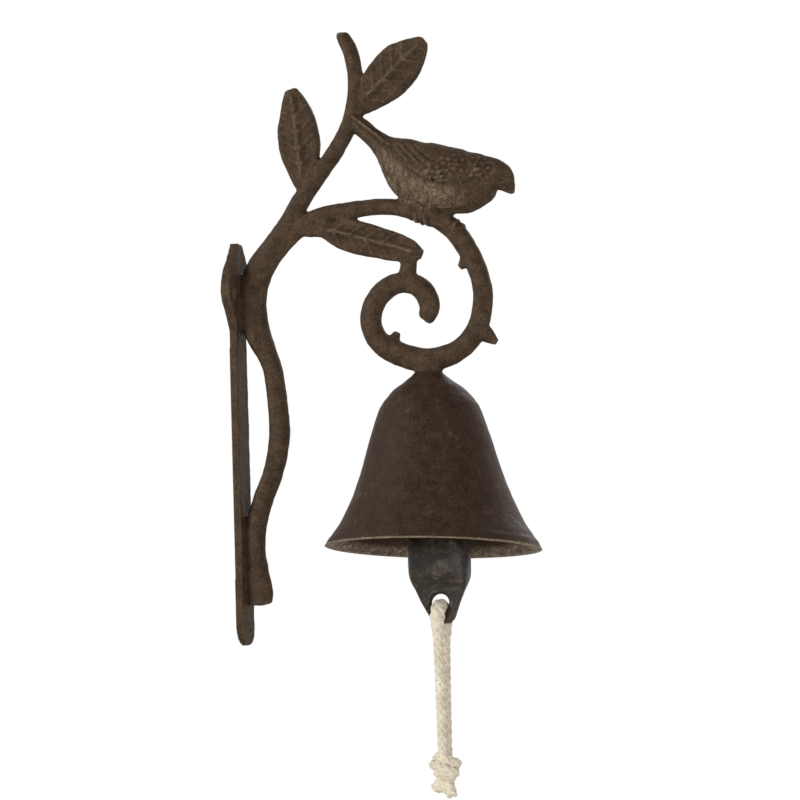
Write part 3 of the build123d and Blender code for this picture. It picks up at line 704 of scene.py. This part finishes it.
def bell_skin(sides=256):
    """Bell: an outside curve, the same curve set in by the wall, a thick crown and a bore. The rim
    is ground on a slant, so each point drops or rises with the cube of its depth. Also returned is
    a share for each point: the rim's edge, worn lighter, and a band just inside the mouth, painted
    lighter as painted light."""
    outer = through([(r * mouth_r, -d * height) for r, d in outer_shares], 0.6)
    along = np.gradient(outer, axis=0)
    along /= np.linalg.norm(along, axis=1)[:, None]
    inner = outer + wall * np.stack([along[:, 1], -along[:, 0]], -1)
    crown = 2 * wall
    mouth_in = np.array([np.interp(height, -inner[:, 1], inner[:, 0]), -height])
    inner = inner[(inner[:, 0] > 9.5) & (inner[:, 1] < -crown - 0.4) & (inner[:, 1] > -height + 0.2)]
    inner = np.concatenate([inner, mouth_in[None]])
    depth = -outer[:, 1]
    band = 0.10 * bump(depth - 11.6, 0.7) + 0.08 * bump(depth - 14.2, 0.7)
    lip = 0.18 * bump(depth - 70.4, 1.0) - 0.15 * bump(depth - 68.6, 1.0)
    outer = outer + (band + lip)[:, None] * np.stack([-along[:, 1], along[:, 0]], -1)
    rim_out, rim_in = outer[-1], inner[-1]
    rim = np.linspace(rim_out, rim_in, 9)[1:-1]
    rounding = np.sin(np.linspace(0, math.pi, 9)[1:-1])
    rim[:, 1] -= 0.15 * rounding
    top = [(3.3, -crown), (3.3, 0.0)]
    loop = np.concatenate([outer, rim, inner[::-1], [(9.0, -crown)], top])
    angle = np.linspace(0, TAU, sides, endpoint=False)[None]
    r, h = loop[:, :1], loop[:, 1:]
    share = np.clip(-h / height, 0, 1) ** 3
    slant = math.tan(math.radians(2.85)) * r * np.cos(angle) * share
    x = bell_x + r * np.cos(angle)
    y = r * np.sin(angle)
    z = seat_z + h - slant
    # The rim's edge is worn lighter; the rows just inside the mouth get painted light.
    rim_wear_and_lit_band = np.zeros(len(loop))
    rim_wear_and_lit_band[len(outer) - 1:len(outer) + 2] = 1.0
    under = slice(len(outer) + 2, len(outer) + len(rim) + len(inner))
    rim_wear_and_lit_band[under] = 0.8 * (1 - fade(height + loop[under, 1], 2.0, 5.0))
    faces = quads(len(loop), sides, closed_rows=True).tolist()
    return np.stack([x, y, z], -1).reshape(-1, 3), faces, np.repeat(rim_wear_and_lit_band, sides)


bell_verts, bell_faces, bell_wear_and_lit_band = bell_skin(224)
bell = piece_from("cast_bell", bell_verts, outward(bell_verts, bell_faces))
bell_points, bell_normals = read_points(bell.data)
skin = 0.12 * lattice(bell_points, 5.5, 31) + 0.07 * lattice(bell_points, 2.0, 37)
away = fade(np.hypot(bell_points[:, 0] - bell_x, bell_points[:, 1]), 6, 10)
skin *= 1 - fade(seat_z - bell_points[:, 2], 69.0, 72.0)
write_points(bell, bell_points + bell_normals * (skin * away)[:, None])
flecks = fade(lattice(bell_points, 1.3, 61), 0.0, 0.5)
# Paler where worn and where light is painted: the rim's edge worn, the band inside the mouth painted light,
# and high places of the skin rubbed.
mark_wear_and_painted_light(bell, np.maximum(bell_wear_and_lit_band * (0.45 + 0.55 * flecks), 0.2 * fade(skin, 0.08, 0.17)))
bell.data.materials.append(iron_bell)
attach(bell, "bracket")
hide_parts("bell")


# Hanger: eye bolt, washer, lock nut and hook

stud_r = 2.9
eye_z = eye_low[2] + 6.8


def thread(radius, low, high, pitch=1.0, depth=0.55, sides=48):
    """Screw thread: a rod whose radius falls and rises once a pitch, turning with the angle."""
    rows = int((high - low) / (pitch / 10))
    h = np.linspace(low, high, rows)[:, None]
    angle = np.linspace(0, TAU, sides, endpoint=False)[None]
    wave = np.abs(((h / pitch - angle / TAU) % 1.0) - 0.5) * 2
    ends = np.minimum(fade(h, low, low + 0.6), 1 - fade(h, high - 0.6, high))
    r = radius - depth * (1 - wave) - 0.5 * (1 - ends)
    x, y = bell_x + r * np.cos(angle), r * np.sin(angle)
    return capped(np.stack([x, y, h + 0 * angle], -1))


eye_bolt = piece_from("hanger_eye_bolt", *merged([
    thread(stud_r, eye_low[2] + 12.4, eye_high[2]),
    ring((hang_x, 0, eye_z), 5.2, 3.2, "y"),
]))
eye_bolt.data.materials.append(zinc)
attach(eye_bolt, "bracket")
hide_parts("eye_bolt")


def washer_skin():
    """Stamped washer: a flat ring with rounded edges."""
    low, high = washer_low[2], washer_high[2]
    e = 0.25
    loop = [(3.2, low + e), (3.2 + e, low), (7.0 - e, low), (7.0, low + e), (7.0, high - e), (7.0 - e, high),
            (3.2 + e, high), (3.2, high - e)]
    return turned(loop, bell_x, 96)


flat_washer = piece_from("flat_washer", *merged([washer_skin()]))
flat_washer.data.materials.append(zinc)
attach(flat_washer, "bracket")
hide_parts("washer")


def nut_skin(sides=96):
    """Hexagon nut: each ring's radius is the hexagon's, cut back near both faces by a 30 degree cone."""
    low, high = nut_low[2], nut_high[2]
    angle = np.linspace(0, TAU, sides, endpoint=False)[None]
    flat = 5.0 / np.cos((angle % (TAU / 6)) - TAU / 12)
    h = np.array([low, low + 0.2, low + 0.5, low + 0.9, high - 0.9, high - 0.5, high - 0.2, high])[:, None]
    cone = 4.75 + np.minimum(h - low, high - h) / math.tan(math.radians(30))
    r = np.minimum(flat, cone)
    bore = np.full((2, sides), 2.95)
    r = np.concatenate([r, bore])
    h = np.concatenate([h, [[high], [low]]])
    verts = np.stack([bell_x + r * np.cos(angle), r * np.sin(angle), h + 0 * r], -1).reshape(-1, 3)
    return verts, quads(len(h), sides, closed_rows=True).tolist()


hex_nut = piece_from("hexagon_nut", *merged([nut_skin()]))
hex_nut.data.materials.append(zinc)
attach(hex_nut, "bracket")
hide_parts("lock_nut")

hook_wire = 2.8
bend = 4.0
top_z, bottom_z = hook_high[2] - hook_wire / 2, hook_low[2] + hook_wire / 2


def bends(corners, radius, step=0.35):
    """Points along a broken line in space with each corner rounded to the radius."""
    p = np.asarray(corners, float)
    out = [p[:1]]
    for a, b, c in zip(p, p[1:], p[2:]):
        u, v = (a - b) / np.linalg.norm(a - b), (c - b) / np.linalg.norm(c - b)
        opening = math.acos(np.clip(np.dot(u, v), -1, 1))
        set_back = radius / math.tan(opening / 2)
        centre = b + (u + v) / np.linalg.norm(u + v) * radius / math.sin(opening / 2)
        start, end = b + u * set_back, b + v * set_back
        turn = math.pi - opening
        first = (start - centre) / radius
        second = (end - centre) / radius
        t = np.linspace(0, turn, max(4, int(turn * radius / step)))[:, None]
        out.append(centre + radius * (np.sin(turn - t) * first + np.sin(t) * second) / math.sin(turn))
    out.append(p[-1:])
    return np.concatenate(out)


hook_line = bends([
    (hang_x, -bend, top_z - 1.7 * bend), (hang_x, -bend, top_z), (hang_x, bend, top_z),
    (hang_x, bend, top_z - 1.75 * bend), (hang_x, 0, top_z - 2.75 * bend),
    (hang_x, 0, bottom_z + 2.75 * bend), (hang_x + bend, 0, bottom_z + 1.75 * bend),
    (hang_x + bend, 0, bottom_z), (hang_x - bend, 0, bottom_z), (hang_x - bend, 0, bottom_z + 1.7 * bend),
], 0.98 * bend)
wire_hook = piece_from("clapper_wire_hook", *merged([wire_tube(hook_line, hook_wire)]))
wire_hook.data.materials.append(zinc)
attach(wire_hook, "hook")
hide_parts("clapper_hook")


# Clapper

ring_radius, ring_wire = 5.2, 3.6
ring_z = clapper_high[2] - ring_radius - ring_wire / 2
body_top, tip_z = ring_z - ring_radius, clapper_low[2]
hole_z = tip_z + 8.5
clapper_sections = [
    (0.00, 5.2, 4.4), (0.02, 6.6, 5.6), (0.08, 9.6, 8.2), (0.17, 18.0, 13.6), (0.30, 25.2, 17.6),
    (0.46, 26.4, 18.0), (0.57, 25.8, 15.6), (0.65, 23.6, 9.6), (0.715, 20.6, 5.2), (0.80, 17.0, 4.8),
    (0.88, 13.4, 4.8), (0.957, 9.8, 4.6), (1.00, 6.4, 3.8),
]


def clapper_body(sides=64):
    """Pear-shaped body: superellipses of width and depth down the height, ending in a flat tongue."""
    rows = through([(s, w, d, 0) for s, w, d in clapper_sections], 0.004)
    h = body_top + rows[:, :1] * (tip_z - body_top)
    angle = np.linspace(0, TAU, sides, endpoint=False)[None]
    flat = fade(rows[:, :1], 0.5, 0.75)
    n = 2.3 + 2.5 * flat
    c, s = np.cos(angle), np.sin(angle)
    shift = 0.9 * fade(rows[:, :1], 0.78, 1.0)
    x = hang_x + shift + rows[:, 1:2] / 2 * power(c, n) * (1 + 0.05 * flat * (c > 0))
    y = rows[:, 2:3] / 2 * power(s, n)
    return capped(np.stack([x, y, h + 0 * angle], -1))


clapper = piece_from("cast_clapper", *merged([
    clapper_body(),
    ring((hang_x, 0, ring_z), ring_radius, ring_wire, "x"),
]))
fused(clapper, 0.45, 4)
clapper_points, clapper_normals = read_points(clapper.data)
dent = 0.10 * lattice(clapper_points, 4.0, 41) + 0.06 * lattice(clapper_points, 1.5, 43)
for pit_x, pit_z, pit_r in ((82.1, -62.5, 0.55), (86.3, -64.4, 0.5)):
    pit = np.hypot(clapper_points[:, 0] - pit_x, clapper_points[:, 2] - pit_z)
    dent -= 0.5 * bump(pit, pit_r) * (clapper_points[:, 1] < 0)
dent *= fade(-clapper_points[:, 2], -ring_z + 6, -ring_z + 10)
write_points(clapper, clapper_points + clapper_normals * dent[:, None])


def flare_cutter(hole_r=3.8, round_r=2.1, reach=9.0, sides=64):
    """Hole with rolled edges: a radius about the hole's axis that grows on a quarter circle from
    the middle of the tongue to its faces, and stays there beyond them."""
    turn = np.linspace(-math.pi / 2, math.pi / 2, 25)
    y = np.concatenate([[-reach], round_r * np.sin(turn), [reach]])
    r = hole_r + round_r * (1 - np.concatenate([[0], np.cos(turn), [0]]))
    angle = np.linspace(0, TAU, sides, endpoint=False)[None]
    x = hang_x + r[:, None] * np.cos(angle)
    z = hole_z + r[:, None] * np.sin(angle)
    verts, faces = capped(np.stack([x, y[:, None] + 0 * angle, z], -1))
    return verts, outward(verts, faces)


mark_wear_and_painted_light(clapper, 0.5 * fade(dent, 0.02, 0.12))
cut_by(clapper, piece_from("hole_cutter", *flare_cutter()))
clapper.data.shade_smooth()
clapper.data.materials.append(iron_clapper)
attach(clapper, "clapper")
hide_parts("clapper")


# Pull rope: two strands of one length of cord, from the hole down to the knot

rope_d = 4.2
fold_y = 5.0
rope_drop = 62.6
fold_z = hole_z - 3.8 + rope_d / 2 + 0.3
knot_z = hole_z - rope_drop
strand_y = 3.2


def strand_route(side):
    """Control points of one strand: over the hole's lower lip, straight down, into the knot."""
    points = [
        (0.0, fold_z), (side * fold_y, fold_z), (side * fold_y, knot_z + 0.76 * rope_drop),
        (side * (0.5 * (strand_y + fold_y) - 0.4), knot_z + 0.41 * rope_drop),
        (side * strand_y, knot_z + 0.15 * rope_drop), (side * strand_y, knot_z),
    ]
    return [(hang_x, y, z) for y, z in points]


def along_spline(route, name):
    """Points in millimetres read from the NURBS spline that has the route as its control points."""
    curve = bpy.data.curves.new(name, "CURVE")
    curve.dimensions = "3D"
    spline = curve.splines.new("NURBS")
    spline.points.add(len(route) - 1)
    for point, place in zip(spline.points, route):
        point.co = (*(np.array(place) * MM), 1.0)
    spline.order_u = 3
    spline.use_endpoint_u = True
    spline.resolution_u = 24
    holder = bpy.data.objects.new(name, curve)
    bpy.context.scene.collection.objects.link(holder)
    graph = bpy.context.evaluated_depsgraph_get()
    mesh = bpy.data.meshes.new_from_object(holder.evaluated_get(graph))
    points, _ = read_points(mesh)
    bpy.data.objects.remove(holder)
    return points


def evenly(points, step):
    """The same line with its points spread evenly, about a step apart."""
    lengths = np.linalg.norm(np.diff(points, axis=0), axis=1)
    reached = np.concatenate([[0], np.cumsum(lengths)])
    at = np.linspace(0, reached[-1], int(reached[-1] / step) + 1)
    return np.stack([np.interp(at, reached, points[:, k]) for k in range(3)], -1)


def carried_frame(line):
    """Tangent, normal and side at each point of a line, turned as little as possible."""
    along = np.gradient(line, axis=0)
    along /= np.linalg.norm(along, axis=1)[:, None]
    normal = np.cross(along[0], (1.0, 0.0, 0.02))
    normals = []
    for t in along:
        normal = normal - t * np.dot(normal, t)
        normal = normal / np.linalg.norm(normal)
        normals.append(normal)
    normals = np.array(normals)
    return along, normals, np.cross(along, normals)


def braid(line, diameter, yarns=8, lay=15.0, phase=0.0, yarn_sides=9, spread=None):
    """Braided cord: half the yarns wind one way round the line and half the other, each passing
    over and under the others as its radius rises at one crossing and falls at the next. Where
    given, spread is a share along the line and a factor by which the cord is fuller up to it."""
    line = evenly(line, 0.55)
    _, normal, side = carried_frame(line)
    reached = np.concatenate([[0], np.cumsum(np.linalg.norm(np.diff(line, axis=0), axis=1))])
    full = np.ones(len(line))
    if spread:
        until, factor = spread
        full += (factor - 1) * (1 - fade(reached / reached[-1], 0.35 * until, until))
    yarn_w, yarn_t = 0.44 * diameter * full[:, None, None], 0.30 * diameter * full[:, None, None]
    mid_r = (diameter / 2 - 0.15 * diameter - 0.03 * diameter) * full
    skins = []
    for k in range(yarns):
        way = 1 if k % 2 == 0 else -1
        turn = way * TAU * reached / lay + TAU * (k // 2) / (yarns / 2) + phase
        weave = np.cos(yarns / 2 * TAU * reached / lay + (0 if way > 0 else math.pi))
        radius = (mid_r + 0.05 * diameter * weave)[:, None]
        out = normal * np.cos(turn)[:, None] + side * np.sin(turn)[:, None]
        centre = line + out * radius
        run = np.gradient(centre, axis=0)
        run /= np.linalg.norm(run, axis=1)[:, None]
        across = np.cross(run, out)
        angle = np.linspace(0, TAU, yarn_sides, endpoint=False)[None, :, None]
        rings = (centre[:, None] + yarn_w / 2 * np.cos(angle) * across[:, None]
                 + yarn_t / 2 * np.sin(angle) * out[:, None])
        skins.append(capped(rings))
    core_angle = np.linspace(0, TAU, 10, endpoint=False)[None, :, None]
    round_line = np.cos(core_angle) * normal[:, None] + np.sin(core_angle) * side[:, None]
    core = line[:, None] + 0.30 * diameter * full[:, None, None] * round_line
    skins.append(capped(core))
    return skins


for strand_name, way in (("pull_rope_front", -1), ("pull_rope_rear", 1)):
    line = along_spline(strand_route(way), strand_name + "_route")
    strand = piece_from(strand_name, *merged(braid(line, rope_d, phase=0.4 * way, spread=(0.3, 1.55))))
    strand.data.materials.append(cotton)
    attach(strand, "rope")
    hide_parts("pull_rope")

# Knot: a turn of the cord round both strands, a pass across the front and two cut tails
knot_mid = knot_z - 5.0
knot_paths = [
    [(0.5, 3.4, -0.8), (-2.8, 3.0, 0.4), (-5.0, 0.4, 1.0), (-3.8, -2.8, 0.8), (-0.5, -4.0, -0.8),
     (3.0, -3.2, -2.4), (4.2, -0.4, -2.9), (2.8, 2.6, -2.0), (0.3, 3.5, -1.0)],
    [(0.2, 3.0, 2.2), (-2.2, 2.7, 3.0), (-3.4, 0.2, 3.6), (-2.2, -2.6, 3.6), (0.4, -3.8, 2.8),
     (3.4, -3.2, 1.6), (5.1, 0.2, 1.0), (3.4, 3.0, 1.2), (0.4, 3.4, 2.0)],
    [(0.0, 2.7, -3.2), (-2.0, 2.4, -2.6), (-3.2, 0.0, -2.2), (-2.2, -2.6, -2.4), (-0.2, -3.6, -3.4),
     (1.8, -2.8, -4.4), (2.4, 0.0, -4.6), (1.6, 2.4, -4.0), (0.2, 2.9, -3.4)],
    [(0.0, -3.1, 5.6), (0.2, -2.6, 3.0), (0.6, -1.2, 0.0), (0.0, 0.0, -3.0)],
    [(0.0, 3.1, 5.6), (-0.2, 2.6, 3.0), (-0.6, 1.2, 0.0), (0.0, 0.6, -3.0)],
]
tail_paths = [
    [(0.0, -0.6, -2.4), (-0.8, -1.0, -5.0), (-2.4, -0.8, -7.2), (-4.4, 0.0, -9.0)],
    [(0.1, -0.2, -2.6), (0.0, -0.6, -5.6), (-0.3, -0.8, -8.0), (-1.0, -0.8, -10.4)],
    [(0.2, 0.4, -2.6), (1.0, 0.0, -6.0), (1.9, -0.8, -9.4), (2.8, -1.2, -12.2)],
]
knot_skins = []
for index, path in enumerate(knot_paths + tail_paths):
    places = [(hang_x + x, y, knot_mid + z) for x, y, z in path]
    line = along_spline(places, "knot_route")
    full = 1.04 if index < len(knot_paths) else 1.15
    knot_skins += braid(line, full * rope_d, lay=13.0, phase=index)
knot = piece_from("rope_end_knot", *merged(knot_skins))
knot.data.materials.append(cotton)
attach(knot, "rope")
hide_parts("rope_knot")


# Floor, light and camera

floor_mesh = bpy.data.meshes.new("floor")
half = 3.0
floor_z = -0.9
floor_corners = [(x * half, y * half, floor_z) for x, y in ((-1, -1), (1, -1), (1, 1), (-1, 1))]
floor_mesh.from_pydata(floor_corners, [], [(0, 1, 2, 3)])
floor = bpy.data.objects.new("floor", floor_mesh)
bpy.context.scene.collection.objects.link(floor)
floor_material, floor_tree, floor_shader, _ = shaded("pale_floor")
floor_shader.inputs["Base Color"].default_value = linear("F2F1EE")
floor_shader.inputs["Roughness"].default_value = 0.8
floor_shader.inputs["Emission Color"].default_value = (1, 1, 1, 1)
floor_ray = add_node(floor_tree, "ShaderNodeLightPath")
pale = add_node(floor_tree, "ShaderNodeMath", {0: floor_ray.outputs["Is Camera Ray"]}, operation="MULTIPLY")
pale.inputs[1].default_value = 0.62
floor_tree.links.new(pale.outputs[0], floor_shader.inputs["Emission Strength"])
floor.data.materials.append(floor_material)

world = bpy.data.worlds.new("studio")
bpy.context.scene.world = world
world.use_nodes = True
tree = world.node_tree
tree.nodes.clear()
path = add_node(tree, "ShaderNodeLightPath")
seen = add_node(tree, "ShaderNodeBackground", Strength=1.0)
seen.inputs["Color"].default_value = (1, 1, 1, 1)
lit = add_node(tree, "ShaderNodeBackground", Strength=0.22)
lit.inputs["Color"].default_value = (1, 1, 1, 1)
rays = [path.outputs[f"Is {kind} Ray"] for kind in ("Camera", "Glossy", "Transmission")]
clear = add_node(tree, "ShaderNodeMath", {0: rays[1], 1: rays[2]}, operation="MAXIMUM")
either = add_node(tree, "ShaderNodeMath", {0: rays[0], 1: clear.outputs[0]}, operation="MAXIMUM")
mix = add_node(tree, "ShaderNodeMixShader", {0: either.outputs[0], 1: lit.outputs[0], 2: seen.outputs[0]})
add_node(tree, "ShaderNodeOutputWorld", {"Surface": mix.outputs[0]})


def lamp(name, place, aim, size, power_w):
    """Square soft lamp at a place, turned to its aim."""
    light = bpy.data.lights.new(name, "AREA")
    light.shape = "SQUARE"
    light.size = size
    light.energy = power_w
    obj = bpy.data.objects.new(name, light)
    bpy.context.scene.collection.objects.link(obj)
    direction = np.asarray(aim, float) - np.asarray(place, float)
    obj.rotation_euler = Vector(direction).to_track_quat("-Z", "Y").to_euler()
    obj.location = place
    return obj


centre = (0.07, 0.0, 0.01)
lamp("key_left", (-1.15, -0.85, 0.65), centre, 0.6, 19)
lamp("fill_right", (1.25, -1.0, 0.0), centre, 0.8, 10)
lamp("low_front", (0.1, -1.2, -0.8), centre, 0.7, 8)
lamp("back_rim", (0.3, 1.4, 0.9), centre, 0.8, 6)

# Camera: looking a little up from in front and to the right, rolled as the photograph is
azimuth, rise, roll = math.radians(18.0), math.radians(7.6), math.radians(1.65)
target = np.array([71.9, 0.0, 13.8]) * MM
distance = 3.2
frame_width = 0.3317
right = np.array([math.cos(azimuth), math.sin(azimuth), 0.0])
ahead = np.array([-math.sin(azimuth) * math.cos(rise), math.cos(azimuth) * math.cos(rise), math.sin(rise)])
up = np.cross(right, ahead)
camera_x = right * math.cos(roll) - up * math.sin(roll)
camera_y = up * math.cos(roll) + right * math.sin(roll)
camera_data = bpy.data.cameras.new("camera")
camera_data.sensor_width = 36.0
camera_data.lens = 36.0 * distance / frame_width
camera_data.clip_end = 20.0
camera = bpy.data.objects.new("camera", camera_data)
bpy.context.scene.collection.objects.link(camera)
place = target - ahead * distance
camera.matrix_world = Matrix([
    [camera_x[0], camera_y[0], -ahead[0], place[0]],
    [camera_x[1], camera_y[1], -ahead[1], place[1]],
    [camera_x[2], camera_y[2], -ahead[2], place[2]],
    [0, 0, 0, 1],
])
bpy.context.scene.camera = camera
bpy.context.scene.view_settings.view_transform = "Standard"
